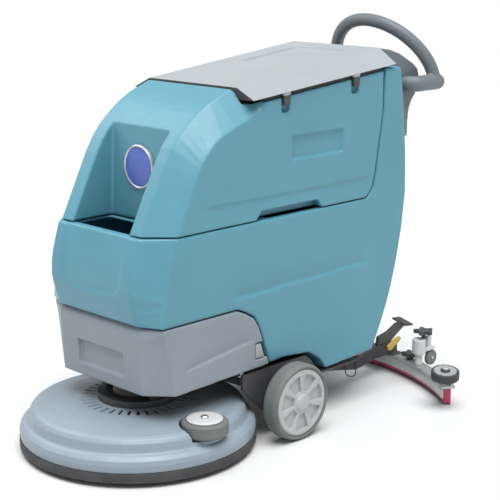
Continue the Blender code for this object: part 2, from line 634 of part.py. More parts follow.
def add_lid(paint):
    hinge_y = 0.41
    add_pivot("lid", (LID_HINGE_X, hinge_y, rim_z(hinge_y) - LID_HINGE_DROP), "tank_tilt")
    front, rear = 0.1825, 0.688
    top_front, top_rear = 0.841, 0.900

    def top(y):
        return top_front + (top_rear - top_front) * (y - front) / (rear - front)

    def edge(y):
        return rim_z(y) + LID_EDGE_RISE

    outer = [lid_section(y, top(y), edge(y), 0.148, 0.205) for y in (front, rear)]
    lid = add_part("recovery_lid", loft(outer), paint["lid_plastic"], "lid")
    inner = []
    for y in (front + 0.016, rear - 0.012):
        inner.append([(0.187, y, edge(y) - 0.01), (0.187, y, edge(y) + 0.002), (0.145, y, top(y) - 0.007),
                      (-0.145, y, top(y) - 0.007), (-0.187, y, edge(y) + 0.002), (-0.187, y, edge(y) - 0.01)])
    cut(lid, loft(inner))
    tray = []
    for y in (0.430, 0.640):
        tray.append([(0.092, y, top(y) - 0.0035), (0.100, y, 0.95), (-0.100, y, 0.95), (-0.092, y, top(y) - 0.0035)])
    cut(lid, loft(tray))
    for y in LID_LUGS_Y:
        low = rim_z(y) - LID_HINGE_DROP - 0.008
        join(lid, box((0.1925, y - 0.0105, low), (0.2035, y + 0.0105, edge(y) + 0.004)))


# ---------------------------------------------------------------- console and handle


def panel_frame():
    """The sloping panel's own frame: X across, Y down the slope to the rear, Z out of it."""
    (front_y, front_z), (rear_y, rear_z) = PANEL_FRONT, PANEL_REAR
    slope = atan((front_z - rear_z) / (rear_y - front_y))
    middle = Vector((0, (front_y + rear_y) / 2, (front_z + rear_z) / 2))
    return Matrix.Translation(middle) @ Matrix.Rotation(-slope, 4, "X")


def on_panel(shape):
    bmesh.ops.transform(shape, verts=shape.verts, matrix=panel_frame())
    return shape


def add_console(paint):
    back = [
        (0.862, 0.814), (0.859, 0.789), (0.846, 0.768), (0.832, 0.752), (0.823, 0.732), (0.8195, 0.703), (0.8195, 0.662),
    ]
    front = [(0.7745, 0.662), (0.7635, 0.728), (0.7455, 0.8540), (0.6945, 0.8540)]
    middle = front + [(0.6945, 0.880), PANEL_FRONT, PANEL_REAR, (0.850, 0.829)] + back
    console = add_part("console_housing", across(middle, -CONSOLE_HALF_WIDTH, CONSOLE_HALF_WIDTH), paint["console_plastic"])
    cheek = front + [
        (0.6945, 0.893), (0.702, 0.8965), (0.738, 0.8915), (0.779, 0.879), (0.813, 0.862), (0.838, 0.849), (0.856, 0.834),
    ] + back
    for side in SIDES.values():
        join(console, on_side(side, across(cheek, CONSOLE_HALF_WIDTH - 0.012, CONSOLE_HALF_WIDTH)))
    room = [
        (0.7495, 0.8585), (0.698, 0.8585), (0.698, 0.8765), (0.702, 0.8760), (0.806, 0.8400), (0.848, 0.8255),
        (0.857, 0.813), (0.854, 0.791), (0.842, 0.772), (0.828, 0.755), (0.819, 0.734),
        (0.8155, 0.704), (0.8155, 0.690), (0.774, 0.690), (0.768, 0.728),
    ]
    cut(console, across(room, -CONSOLE_HALF_WIDTH + 0.004, CONSOLE_HALF_WIDTH - 0.004))
    cut(console, box((-0.10, 0.705, 0.84), (0.10, 0.740, 0.87)))
    cut(console, on_panel(box((-0.108, -0.042, -0.02), (0.108, 0.042, 0.01))))

    plate = add_part("control_panel", on_panel(box((-0.120, -0.051, GAP), (0.120, 0.051, 0.003))), paint["black_plastic"])
    for x in BUTTON_X:
        cut(plate, on_panel(rod(BUTTON_RADIUS + 0.0006, -0.02, 0.02, (x, 0.016, 0))))
    stop_x = -0.085
    cut(plate, on_panel(rod(0.0088, -0.02, 0.02, (stop_x, 0, 0))))
    gauge = box((-0.005, -0.038, 0.0033), (0.085, -0.010, 0.0060))
    add_part("battery_gauge", on_panel(gauge), paint["gauge_lens"])
    frame = panel_frame()
    for name, x in zip(("brush_button", "vacuum_button", "water_button"), BUTTON_X):
        add_pivot(name, frame @ Vector((x, 0.016, 0)), "machine")
        cap = [(0, -0.006), (BUTTON_RADIUS, -0.006), (BUTTON_RADIUS, 0.0065), (BUTTON_RADIUS - 0.0015, 0.0080), (0, 0.0080)]
        add_part(name, on_panel(turned(cap, (x, 0.016, 0), steps=16)), paint["white_plastic"], name)
    add_pivot("emergency_stop", frame @ Vector((stop_x, 0, 0)), "machine")
    mushroom = [(0, -0.010), (0.008, -0.010), (0.008, 0.0075), (0.0185, 0.0080), (0.0185, 0.0115), (0.012, 0.0135), (0, 0.0140)]
    add_part("emergency_stop", on_panel(turned(mushroom, (stop_x, 0, 0), steps=20)), paint["red_plastic"], "emergency_stop")
    key_x = -0.040
    add_pivot("key_switch", frame @ Vector((key_x, 0.012, 0)), "machine")
    barrel = [(0, 0.0033), (0.0125, 0.0033), (0.0125, 0.0075), (0.0110, 0.0090), (0, 0.0090)]
    key = add_part("key_switch", on_panel(turned(barrel, (key_x, 0.012, 0), steps=20)), paint["bright_steel"], "key_switch")
    join(key, on_panel(box((key_x - 0.0013, 0.003, 0.008), (key_x + 0.0013, 0.021, 0.022))))


def add_handle(paint):
    """A leaning half-ellipse of tube, standing on two thicker arms that come out of the console's sides."""
    base_y, base_z = HANDLE_BASE
    lean_y, lean_z = HANDLE_TOP[0] - base_y, HANDLE_TOP[1] - base_z
    arch = []
    for i in range(31):
        angle = pi * i / 30
        rise = sin(angle)
        arch.append((HANDLE_HALF_WIDTH * cos(angle), base_y + lean_y * rise ** 1.5, base_z + lean_z * rise))
    handle = add_part("handle_bar", tube(arch, [HANDLE_RADIUS] * len(arch)), paint["console_plastic"])
    wide = HANDLE_ARM_RADIUS
    arm_y, end_y = HANDLE_ARM_Y
    root_x = CONSOLE_HALF_WIDTH + GAP
    straight = 0.003
    bend = HANDLE_HALF_WIDTH - root_x - straight
    arm_line = [(root_x, arm_y, base_z), (root_x + straight, arm_y, base_z)]
    for i in range(1, 5):
        angle = radians(90) * i / 4
        arm_line.append((root_x + straight + bend * sin(angle), arm_y + bend * (1 - cos(angle)), base_z))
    radii = [wide] * len(arm_line)
    for angle in (0, 28, 52, 72, 86):
        arm_line.append((HANDLE_HALF_WIDTH, end_y + wide * sin(radians(angle)), base_z))
        radii.append(wide * cos(radians(angle)))
    for side in SIDES.values():
        join(handle, on_side(side, tube(arm_line, radii, 16)))


# ---------------------------------------------------------------- squeegee


def add_squeegee(paint):
    add_pivot("squeegee_lift", SQUEEGEE_PIVOT, "machine")
    bar = [
        (0.487, 0.078), (0.585, 0.061), (0.668, 0.043), (0.690, 0.044), (0.752, 0.0535), (0.846, 0.0535),
        (0.846, 0.080), (0.836, 0.088), (0.748, 0.088), (0.672, 0.068), (0.592, 0.085), (0.512, 0.099),
        (0.496, 0.101), (0.487, 0.094),
    ]
    plate_low, plate_top = CASTING_TOP + GAP, 0.0555
    plate = [(0.594, plate_low), (0.640, plate_low), (0.640, plate_top), (0.594, plate_top)]
    arm = add_part("squeegee_arm", swept_arc(plate, 11.0, 10), paint["black_steel"], "squeegee_lift")
    for side in SIDES.values():
        join(arm, on_side(side, across(bar, SQUEEGEE_ARM_X - 0.005, SQUEEGEE_ARM_X + 0.005)))
    cut(arm, rod(0.0066, -0.13, 0.13, SQUEEGEE_PIVOT, "X"))
    spigot_y = BLADE_ARC_Y + 0.616
    cut(arm, rod(0.0172, 0.03, 0.09, (0, spigot_y, 0), steps=22))
    spigot = [(0.0135, CASTING_TOP + GAP), (0.0165, CASTING_TOP + GAP), (0.0165, 0.110), (0.0135, 0.110)]
    add_part("suction_spigot", turned(spigot, (0, spigot_y, 0), steps=20), paint["black_plastic"], "squeegee_lift")

    stalk = [(0.760, 0.0883), (0.812, 0.0883), (0.878, 0.124), (0.866, 0.138), (0.840, 0.135), (0.806, 0.120), (0.765, 0.113)]
    pedal = add_part("lift_pedal", across(stalk, SQUEEGEE_ARM_X - 0.005, SQUEEGEE_ARM_X + 0.005), paint["black_steel"], "squeegee_lift")
    pad = box((-0.025, -0.018, -0.0025), (0.025, 0.018, 0.0025))
    tilt = Matrix.Rotation(radians(13), 4, "Y") @ Matrix.Rotation(radians(-8), 4, "X")
    place = Matrix.Translation((SQUEEGEE_ARM_X, 0.872, 0.134))
    bmesh.ops.transform(pad, verts=pad.verts, matrix=place @ tilt)
    join(pedal, pad)

    latch_point = (SQUEEGEE_ARM_X, 0.805, 0.077)
    add_pivot("lift_latch", latch_point, "squeegee_lift")
    lever = [
        (0.796, 0.080), (0.798, 0.069), (0.810, 0.067), (0.826, 0.078), (0.846, 0.086), (0.851, 0.093),
        (0.846, 0.099), (0.828, 0.096), (0.812, 0.089),
    ]
    low_x = SQUEEGEE_ARM_X + 0.0055
    add_part("lift_latch", across(lever, low_x, low_x + 0.008), paint["yellow_plastic"], "lift_latch")

    inner_edge, outer_edge = 0.606, 0.642
    strap_outer, block_inner, block_outer = 0.6101, 0.6152, 0.6262
    under_top = CASTING_TOP - 0.0085
    rail = [
        (inner_edge, under_top), (outer_edge, under_top), (outer_edge, CASTING_TOP - 0.002),
        (outer_edge - 0.003, CASTING_TOP), (inner_edge + 0.003, CASTING_TOP), (inner_edge, CASTING_TOP - 0.002),
    ]
    casting = add_part("squeegee_casting", swept_arc(rail, CASTING_HALF_ANGLE), paint["cast_metal"], "squeegee_lift")
    block = [(block_inner, 0.020), (block_outer, 0.020), (block_outer, under_top + 0.002), (block_inner, under_top + 0.002)]
    join(casting, swept_arc(block, BLADE_HALF_ANGLE - 0.8))
    cut(casting, rod(0.0132, 0.0, 0.1, (0, spigot_y, 0), steps=22))
    blade_top = under_top - GAP
    blades = {
        "front_blade": (block_inner - GAP - BLADE_THICKNESS, 0.0105, BLADE_HALF_ANGLE),
        "rear_blade": (BLADE_ARC_RADIUS - BLADE_THICKNESS, 0.0, BLADE_HALF_ANGLE),
    }
    for name, (radius, low, half_angle) in blades.items():
        outline = [(radius, low), (radius + BLADE_THICKNESS, low), (radius + BLADE_THICKNESS, blade_top), (radius, blade_top)]
        blade = add_part(name, swept_arc(outline, half_angle), paint["red_blade"], "squeegee_lift")
    end_wall = [(block_inner, 0.006), (0.629, 0.006), (0.629, blade_top - 0.001), (block_inner, blade_top - 0.001)]
    for side in SIDES.values():
        wall = turned(end_wall, (0, BLADE_ARC_Y, 0), steps=1, start=90.05 - BLADE_HALF_ANGLE, sweep=0.4)
        join(blade, on_side(side, wall))
    strap = [(inner_edge, 0.020), (strap_outer, 0.020), (strap_outer, blade_top), (inner_edge, blade_top)]
    add_part("blade_strap", swept_arc(strap, CASTING_HALF_ANGLE), paint["cast_metal"], "squeegee_lift")

    for name, side in SIDES.items():
        add_squeegee_side(paint, name, side, casting)


def add_squeegee_side(paint, name, side, casting):
    x, y, z = END_ROLLER
    lean = Matrix.Rotation(radians(END_ROLLER_LEAN), 4, Vector((1, 1, 0)))
    lean = Matrix.Translation((x, y, z)) @ lean

    def leaning(shape):
        bmesh.ops.transform(shape, verts=shape.verts, matrix=lean)
        return on_side(side, shape)

    shelf = [(0.3675, 0.7000), (0.3845, 0.7000), (0.3800, 0.7400), (0.3630, 0.7370)]
    join(casting, on_side(side, upright(shelf, 0.0650, 0.0715)))
    leg = [(0.3660, 0.7270), (0.3790, 0.7250), (0.3775, 0.7385), (0.3645, 0.7355)]
    join(casting, on_side(side, upright(leg, 0.0480, 0.0700)))
    post = [
        (0, -0.016), (0.011, -0.016), (0.011, -0.008), (0.0058, -0.006),
        (0.0058, 0.0222), (0.010, 0.0222), (0.010, 0.028), (0, 0.028),
    ]
    join(casting, leaning(turned(post, steps=16)))
    wide = END_ROLLER_RADIUS
    pivot = f"end_roller_{name}"
    add_pivot(pivot, (side * x, y, z), "squeegee_lift")
    disc = [
        (0.0064, -0.004), (wide - 0.002, -0.004), (wide, -0.002), (wide, 0.016), (wide - 0.002, 0.018),
        (0.031, 0.018), (0.014, 0.012), (0.012, 0.0216), (0.0064, 0.0216),
    ]
    add_part(pivot, leaning(turned(disc, steps=28)), paint["black_rubber"], pivot)

    x, y = ADJUSTER
    head_low, head_top = 0.084, 0.124
    tower = [
        (0, CASTING_TOP + GAP), (0.0100, CASTING_TOP + GAP), (0.0100, head_low), (0.0185, head_low),
        (0.0185, head_top - 0.004), (0.0165, head_top), (0, head_top),
    ]
    pivot = f"caster_adjuster_{name}"
    adjuster = add_part(pivot, on_side(side, turned(tower, (x, y, 0), steps=24)), paint["white_plastic"], "squeegee_lift")
    wheel_x, wheel_y, wheel_z = SQUEEGEE_WHEEL
    bridge_z = wheel_z + SQUEEGEE_WHEEL_RADIUS + 0.0025
    join(adjuster, on_side(side, box((0.211, 0.812, bridge_z), (0.2325, wheel_y + 0.008, 0.098))))
    join(adjuster, on_side(side, box((0.213, 0.823, 0.095), (0.2255, wheel_y, 0.127))))
    cheek_x = wheel_x - 0.0115
    join(adjuster, on_side(side, box((cheek_x, wheel_y - 0.008, wheel_z - 0.008), (cheek_x + 0.0045, wheel_y + 0.008, 0.0965))))
    join(adjuster, on_side(side, rod(0.004, cheek_x + 0.002, wheel_x + 0.008, (0, wheel_y, wheel_z), "X", 12)))
    pivot = f"squeegee_wheel_{name}"
    add_pivot(pivot, (side * wheel_x, wheel_y, wheel_z), "squeegee_lift")
    tread = SQUEEGEE_WHEEL_RADIUS
    roller = [(0.0045, -0.006), (tread - 0.002, -0.006), (tread, -0.004), (tread, 0.004), (tread - 0.002, 0.006), (0.0045, 0.006)]
    wheel = turned(roller, (wheel_x, wheel_y, wheel_z), "X", 24)
    add_part(pivot, on_side(side, wheel), paint["grey_tyre"], pivot)

    knobs = {
        f"adjuster_knob_{name}": (ADJUSTER_KNOB, head_top, 0.138, 0.148, 0.0280, 0.0060),
        f"clamp_knob_{name}": (CLAMP_KNOB, CASTING_TOP, 0.059, 0.071, 0.0240, 0.0090),
    }
    for knob_name, ((x, y), base, low, high, radius, stem) in knobs.items():
        add_pivot(knob_name, (side * x, y, 0), "squeegee_lift")
        knob = add_part(knob_name, on_side(side, upright(star(radius, (x, y)), low, high)), paint["black_plastic"], knob_name)
        join(knob, on_side(side, rod(stem, base + GAP, low + 0.004, (x, y, 0), steps=14)))


def main():
    for thing in list(bpy.data.objects):
        bpy.data.objects.remove(thing, do_unlink=True)
    bpy.context.scene.unit_settings.system = "METRIC"
    add_pivot("machine", (0, 0, 0))
    PIVOTS["machine"][0].location = (0, -(MACHINE_FRONT + MACHINE_REAR) / 2, 0)
    paint = make_materials()
    add_deck(paint)
    add_brush(paint)
    add_chassis(paint)
    add_main_wheels(paint)
    add_caster(paint)
    add_motor_cover(paint)
    add_solution_tank(paint)
    add_recovery_tank(paint)
    add_lid(paint)
    add_console(paint)
    add_handle(paint)
    add_squeegee(paint)


main()
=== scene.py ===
import json
from math import cos, exp, pi, radians, sin

import bmesh
import bpy
from mathutils import Matrix, Vector

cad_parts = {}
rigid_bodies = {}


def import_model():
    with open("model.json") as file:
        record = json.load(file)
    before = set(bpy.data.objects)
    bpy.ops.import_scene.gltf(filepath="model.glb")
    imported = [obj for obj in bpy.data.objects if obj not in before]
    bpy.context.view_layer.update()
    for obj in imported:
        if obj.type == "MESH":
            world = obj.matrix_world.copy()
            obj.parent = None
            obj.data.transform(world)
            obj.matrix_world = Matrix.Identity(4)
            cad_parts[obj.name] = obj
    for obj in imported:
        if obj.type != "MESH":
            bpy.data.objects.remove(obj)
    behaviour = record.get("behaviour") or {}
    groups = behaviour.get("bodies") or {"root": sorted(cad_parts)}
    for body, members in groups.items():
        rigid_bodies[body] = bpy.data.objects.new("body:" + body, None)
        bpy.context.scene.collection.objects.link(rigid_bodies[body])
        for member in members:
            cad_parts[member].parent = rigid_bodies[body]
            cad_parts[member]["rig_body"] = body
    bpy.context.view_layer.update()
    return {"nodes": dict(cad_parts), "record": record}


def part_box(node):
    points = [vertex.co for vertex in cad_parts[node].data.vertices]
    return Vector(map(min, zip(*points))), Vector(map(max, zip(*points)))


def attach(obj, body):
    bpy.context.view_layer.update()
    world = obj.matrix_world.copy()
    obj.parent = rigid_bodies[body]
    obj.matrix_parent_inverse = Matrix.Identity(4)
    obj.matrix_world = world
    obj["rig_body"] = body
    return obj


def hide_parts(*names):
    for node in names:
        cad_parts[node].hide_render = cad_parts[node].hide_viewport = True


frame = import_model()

NODES = frame["nodes"]
SKIRT_LOW, SKIRT_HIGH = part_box("deck_skirt")
DECK_Y = (SKIRT_LOW.y + SKIRT_HIGH.y) / 2  # the brush's axis, from which the machine's lengths are given
LID_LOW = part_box("recovery_lid")[0]
WHEEL_LOW, WHEEL_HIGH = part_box("tyre_left")
WHEEL_Y = (WHEEL_LOW.y + WHEEL_HIGH.y) / 2 - DECK_Y
WHEEL_Z = (WHEEL_LOW.z + WHEEL_HIGH.z) / 2
SIDES = ("left", "right")
HARD_EDGE = 32  # degrees between two faces, from which their edge is rounded off
EDGE_ROUND = 0.0008  # radius of a small part's edges
RECOVERY_CREASE_Z = 0.587  # the crease low on the recovery tank's sides
LID_SLOPE = 5.5  # degrees by which the lid's edge rises to the rear
LUG_Y, LUG_TOP_Z, LUG_RISE = 0.295, 0.8195, 0.0963  # the lid's edge at its front lug, and its rise per metre
POCKET_FACE_X = 0.268  # the outer face of the hub's spokes
HUB_GROWTH = 0.085
TYRE_GROWTH = 0.0063
LENS = 94.464
CAMERA_PITCH, CAMERA_TURN = 13.6, 45  # degrees down from level, and round from the machine's front


def at(x, y, z):
    """A point given from the brush's axis on the floor, in the frame."""
    return Vector((x, y + DECK_Y, z))


# ---------------------------------------------------------------- materials


def node_tree(name):
    material = bpy.data.materials.new(name)
    material.use_nodes = True
    tree = material.node_tree
    return material, tree, tree.nodes["Principled BSDF"]


def noise(tree, where, scale, detail=3.0, stretch=(1, 1, 1)):
    mapping = tree.nodes.new("ShaderNodeMapping")
    mapping.inputs["Scale"].default_value = stretch
    tree.links.new(where, mapping.inputs["Vector"])
    texture = tree.nodes.new("ShaderNodeTexNoise")
    texture.inputs["Scale"].default_value = scale
    texture.inputs["Detail"].default_value = detail
    tree.links.new(mapping.outputs[0], texture.inputs["Vector"])
    return texture.outputs[0]


def spread(tree, value, low_in, high_in, low_out, high_out):
    node = tree.nodes.new("ShaderNodeMapRange")
    sockets = ("From Min", "From Max", "To Min", "To Max")
    for socket, number in zip(sockets, (low_in, high_in, low_out, high_out)):
        node.inputs[socket].default_value = number
    tree.links.new(value, node.inputs["Value"])
    return node.outputs[0]


def mixed(tree, factor, first, second):
    """first where the factor is 0, second where it is 1; each is a socket or a colour."""
    node = tree.nodes.new("ShaderNodeMix")
    node.data_type = "RGBA"
    tree.links.new(factor, node.inputs[0])
    for socket, colour in ((node.inputs[6], first), (node.inputs[7], second)):
        if isinstance(colour, tuple):
            socket.default_value = (*colour, 1)
        else:
            tree.links.new(colour, socket)
    return node.outputs[2]


def bumped(tree, shader, heights):
    """Chains bumps, each (height socket, strength, distance in metres)."""
    normal = None
    for height, strength, distance in heights:
        bump = tree.nodes.new("ShaderNodeBump")
        bump.inputs["Strength"].default_value = strength
        bump.inputs["Distance"].default_value = distance
        tree.links.new(height, bump.inputs["Height"])
        if normal is not None:
            tree.links.new(normal, bump.inputs["Normal"])
        normal = bump.outputs[0]
    tree.links.new(normal, shader.inputs["Normal"])


def shade(colour, factor):
    return tuple(min(1.0, channel * factor) for channel in colour)


def moulded(name, colour, roughness=0.45, grain=1400, grain_depth=0.00025, mottle=0.06, scuff=0.25):
    """Moulded or painted surface: cloudy colour, fine grain, a few pale scuffs and uneven gloss."""
    material, tree, shader = node_tree(name)
    place = tree.nodes.new("ShaderNodeTexCoord").outputs["Object"]
    cloud = noise(tree, place, 4.5, 4)
    clouded = spread(tree, cloud, 0.3, 0.7, 0, 1)
    body = mixed(tree, clouded, shade(colour, 1 - mottle), shade(colour, 1 + mottle))
    speck = noise(tree, place, 420, 2)
    body = mixed(tree, spread(tree, speck, 0.62, 0.8, 0, 0.25), body, shade(colour, 0.78))
    rub = noise(tree, place, 26, 6, (1, 0.16, 1.7))
    pale = tuple(0.6 * channel + 0.4 * 0.62 for channel in colour)
    body = mixed(tree, spread(tree, rub, 0.66, 0.80, 0, scuff), body, pale)
    tree.links.new(body, shader.inputs["Base Color"])
    gloss = noise(tree, place, 38, 5)
    uneven = spread(tree, gloss, 0.3, 0.7, roughness - 0.05, roughness + 0.08)
    tree.links.new(uneven, shader.inputs["Roughness"])
    grain_height = noise(tree, place, grain, 2)
    wave = noise(tree, place, 14, 2)
    bumped(tree, shader, [(wave, 0.10, 0.002), (grain_height, 0.35, grain_depth)])
    return material


def metal(name, colour, roughness, stretch=(1, 1, 1), scale=300, depth=0.0002, pits=0.3):
    material, tree, shader = node_tree(name)
    place = tree.nodes.new("ShaderNodeTexCoord").outputs["Object"]
    lines = noise(tree, place, scale, 4, stretch)
    stain = noise(tree, place, 22, 5)
    body = mixed(tree, spread(tree, stain, 0.35, 0.75, 0, 1), shade(colour, 1.05), shade(colour, 0.80))
    body = mixed(tree, spread(tree, lines, 0.60, 0.75, 0, pits), body, shade(colour, 0.55))
    tree.links.new(body, shader.inputs["Base Color"])
    uneven = spread(tree, lines, 0.3, 0.7, roughness - 0.06, roughness + 0.12)
    tree.links.new(uneven, shader.inputs["Roughness"])
    shader.inputs["Metallic"].default_value = 0.85
    bumped(tree, shader, [(lines, 0.4, depth)])
    return material


def rubber(name, colour, dust, roughness=0.75):
    """Rubber with floor dust rubbed into it and a fine matt grain."""
    material, tree, shader = node_tree(name)
    place = tree.nodes.new("ShaderNodeTexCoord").outputs["Object"]
    patches = noise(tree, place, 18, 5)
    fine = noise(tree, place, 700, 3)
    body = mixed(tree, spread(tree, patches, 0.42, 0.72, 0, 0.55), colour, dust)
    body = mixed(tree, spread(tree, fine, 0.6, 0.8, 0, 0.4), body, shade(colour, 0.7))
    tree.links.new(body, shader.inputs["Base Color"])
    uneven = spread(tree, patches, 0.3, 0.7, roughness - 0.08, roughness + 0.10)
    tree.links.new(uneven, shader.inputs["Roughness"])
    bumped(tree, shader, [(patches, 0.2, 0.001), (fine, 0.5, 0.0003)])
    return material


def bristles(name, colour):
    """Upright filaments: noise drawn out along Z."""
    material, tree, shader = node_tree(name)
    place = tree.nodes.new("ShaderNodeTexCoord").outputs["Object"]
    strands = noise(tree, place, 900, 2, (1, 1, 0.02))
    clumps = noise(tree, place, 120, 2, (1, 1, 0.05))
    body = mixed(tree, spread(tree, strands, 0.35, 0.65, 0, 1), shade(colour, 0.45), shade(colour, 1.6))
    body = mixed(tree, spread(tree, clumps, 0.5, 0.7, 0, 0.5), body, shade(colour, 0.5))
    tree.links.new(body, shader.inputs["Base Color"])
    shader.inputs["Roughness"].default_value = 0.85
    bumped(tree, shader, [(strands, 1.0, 0.001), (clumps, 0.8, 0.002)])
    return material


PAINT = {
    "blue_plastic": moulded("tank_plastic", (0.089, 0.268, 0.345), 0.36, scuff=0.08, mottle=0.05),
    "lid_plastic": moulded("lid_grey_plastic", (0.315, 0.348, 0.372), 0.46, scuff=0.12, mottle=0.03),
    "cover_plastic": moulded("cover_grey_plastic", (0.230, 0.265, 0.300), 0.46, scuff=0.15),
    "deck_plastic": moulded("deck_blue_grey_plastic", (0.235, 0.285, 0.335), 0.38, scuff=0.20),
    "console_plastic": moulded("handle_grey_plastic", (0.135, 0.158, 0.178), 0.48, scuff=0.12),
    "white_plastic": moulded("white_moulding", (0.52, 0.53, 0.53), 0.42, mottle=0.03, scuff=0.1),
    "grey_moulding": moulded("canister_moulding", (0.31, 0.32, 0.325), 0.42, mottle=0.05, scuff=0.1),
    "cream_plastic": moulded("cream_moulding", (0.60, 0.59, 0.53), 0.45, mottle=0.04, scuff=0.1),
    "hub_plastic": moulded("hub_moulding", (0.385, 0.39, 0.395), 0.46, scuff=0.25),
    "black_plastic": moulded("black_moulding", (0.052, 0.054, 0.057), 0.48, scuff=0.15),
    "yellow_plastic": moulded("yellow_moulding", (0.60, 0.39, 0.09), 0.42, scuff=0.15),
    "red_plastic": moulded("red_moulding", (0.55, 0.03, 0.025), 0.34, scuff=0.05),
    "emblem_blue": moulded("emblem_enamel", (0.080, 0.135, 0.470), 0.24, scuff=0.04, mottle=0.10),
    "gauge_lens": moulded("gauge_window", (0.030, 0.055, 0.045), 0.12, scuff=0.05),
    "battery_case": moulded("battery_moulding", (0.055, 0.057, 0.060), 0.55),
    "black_steel": moulded("black_powder_coat", (0.050, 0.050, 0.053), 0.46, grain=900, scuff=0.18),
    "bright_steel": metal("turned_steel", (0.66, 0.66, 0.65), 0.28, (1, 1, 12)),
    "cast_metal": metal("cast_aluminium", (0.56, 0.58, 0.575), 0.46, (1, 1, 1), 260, 0.0004, 0.18),
    "black_rubber": rubber("black_rubber", (0.040, 0.040, 0.043), (0.095, 0.095, 0.095)),
    "grey_tyre": rubber("grey_tyre_rubber", (0.130, 0.143, 0.138), (0.19, 0.195, 0.188)),
    "red_blade": rubber("crimson_polyurethane", (0.50, 0.050, 0.120), (0.40, 0.09, 0.14), 0.42),
    "bristle": bristles("nylon_bristle", (0.075, 0.082, 0.092)),
}
SLOT_OF = {member["node"]: member["material_slot"] for member in frame["record"]["subparts"]}


# ---------------------------------------------------------------- pieces made from the frame's nodes


def shown(piece_name, mesh, paint, body, replaces=()):
    """Puts a mesh in the scene, riding on a body and standing for the nodes given."""
    mesh.materials.clear()
    mesh.materials.append(PAINT[paint])
    piece = bpy.data.objects.new(piece_name, mesh)
    bpy.context.scene.collection.objects.link(piece)
    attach(piece, body)
    if replaces:
        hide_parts(*replaces)
    return piece


def welded(node):
    """The node's own surface as one bmesh with its flat faces whole again."""
    shape = bmesh.new()
    shape.from_mesh(NODES[node].data)
    bmesh.ops.remove_doubles(shape, verts=shape.verts, dist=2e-5)
    bmesh.ops.dissolve_limit(shape, angle_limit=radians(0.6), verts=shape.verts, edges=shape.edges)
    bmesh.ops.recalc_face_normals(shape, faces=shape.faces)
    return shape


def to_mesh(shape, name, sharp=None):
    """sharp is the angle in degrees above which an edge stays crisp; None shades all of it smooth."""
    mesh = bpy.data.meshes.new(name)
    shape.to_mesh(mesh)
    shape.free()
    mesh.shade_smooth()
    if sharp:
        mesh.set_sharp_from_angle(angle=radians(sharp))
    return mesh


def evaluated(mesh, modifiers):
    """The mesh after a list of (type, settings) modifiers."""
    worker = bpy.data.objects.new("worker", mesh)
    bpy.context.scene.collection.objects.link(worker)
    for kind, settings in modifiers:
        modifier = worker.modifiers.new(kind, kind)
        for key, value in settings.items():
            setattr(modifier, key, value)
    graph = bpy.context.evaluated_depsgraph_get()
    result = bpy.data.meshes.new_from_object(worker.evaluated_get(graph))
    bpy.data.objects.remove(worker)
    return result


def edged(node, width, paint=None):
    """A copy of the node with its hard edges rounded off."""
    shape = welded(node)
    hard = [edge for edge in shape.edges if edge.is_manifold and edge.calc_face_angle(0) > radians(HARD_EDGE)]
    bmesh.ops.bevel(
        shape, geom=hard, offset=width, segments=2, profile=0.6, affect="EDGES", clamp_overlap=True
    )
    mesh = to_mesh(shape, node + "_skin", 40)
    slot = SLOT_OF[node]
    return shown(node + "_skin", mesh, paint or slot, NODES[node]["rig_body"], [node])


def moved(mesh, change):
    """Moves each vertex by change(point from the brush's axis), a vector or None."""
    for vertex in mesh.vertices:
        point = vertex.co
        shift = change(point.x, point.y - DECK_Y, point.z)
        if shift is not None:
            vertex.co = point + Vector(shift)


def softened(node, voxel, passes, keep, change=None, tilt=0.0):
    """A moulded copy of the node: every edge is given the radius that a moulding has."""
    source = to_mesh(welded(node), node + "_weld")
    source.transform(Matrix.Rotation(-radians(tilt), 4, "X"))
    dense = evaluated(source, [("REMESH", {"mode": "VOXEL", "voxel_size": voxel})])
    dense.transform(Matrix.Rotation(radians(tilt), 4, "X"))
    if change:
        moved(dense, change)
    smooth = {"factor": 0.5, "iterations": passes}
    skin = evaluated(dense, [("SMOOTH", smooth), ("DECIMATE", {"ratio": keep})])
    skin.shade_smooth()
    skin.name = node + "_skin"
    slot = SLOT_OF[node]
    return shown(node + "_skin", skin, slot, NODES[node]["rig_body"], [node])


def ramp(value, low, high):
    """0 below low, 1 above high, and a smooth turn between."""
    t = min(1.0, max(0.0, (value - low) / (high - low)))
    return t * t * (3 - 2 * t)


def window(value, low, high, edge):
    """1 between low and high, with an edge of that width on each side."""
    return ramp(value, low - edge, low) * (1 - ramp(value, high, high + edge))


# ---------------------------------------------------------------- mouldings


def solution_style(x, y, z):
    """The crease along each side, and the shallow panel across the front."""
    shift = [0.0, 0.0, 0.0]
    if abs(x) > 0.188:
        line = 0.3625 + 0.014 * (y - 0.12)
        ends = ramp(y, 0.100, 0.150) * (1 - ramp(y, 0.560, 0.610))
        if z > line:
            shift[0] = -0.0065 * ends * exp(-(z - line) / 0.022) * (1 if x > 0 else -1)
    if y < -0.085 and abs(x) < 0.145 and z > 0.34:
        across = 1 - ramp(abs(x), 0.096, 0.110)
        corner = max(0.0, abs(x) - 0.055) / 0.055
        bottom = 0.395 + 0.030 * corner ** 2
        shift[1] = 0.0045 * across * ramp(z, bottom, bottom + 0.010)
    return shift


def cover_style(x, y, z):
    """The rolled flange along the top of the front, and the crease along each side."""
    shift = [0.0, 0.0, 0.0]
    if y < -0.05 and z > 0.300:
        shift[1] = 0.012 * ramp(z, 0.312, 0.338) * (1 - ramp(abs(x), 0.110, 0.190))
    if abs(x) > 0.188 and z > 0.19:
        line = 0.2255 + 0.125 * (y + 0.027)
        ends = ramp(y, -0.035, 0.010) * (1 - ramp(y, 0.150, 0.200))
        if z > line:
            shift[0] = -0.0050 * ends * exp(-(z - line) / 0.016) * (1 if x > 0 else -1)
    return shift


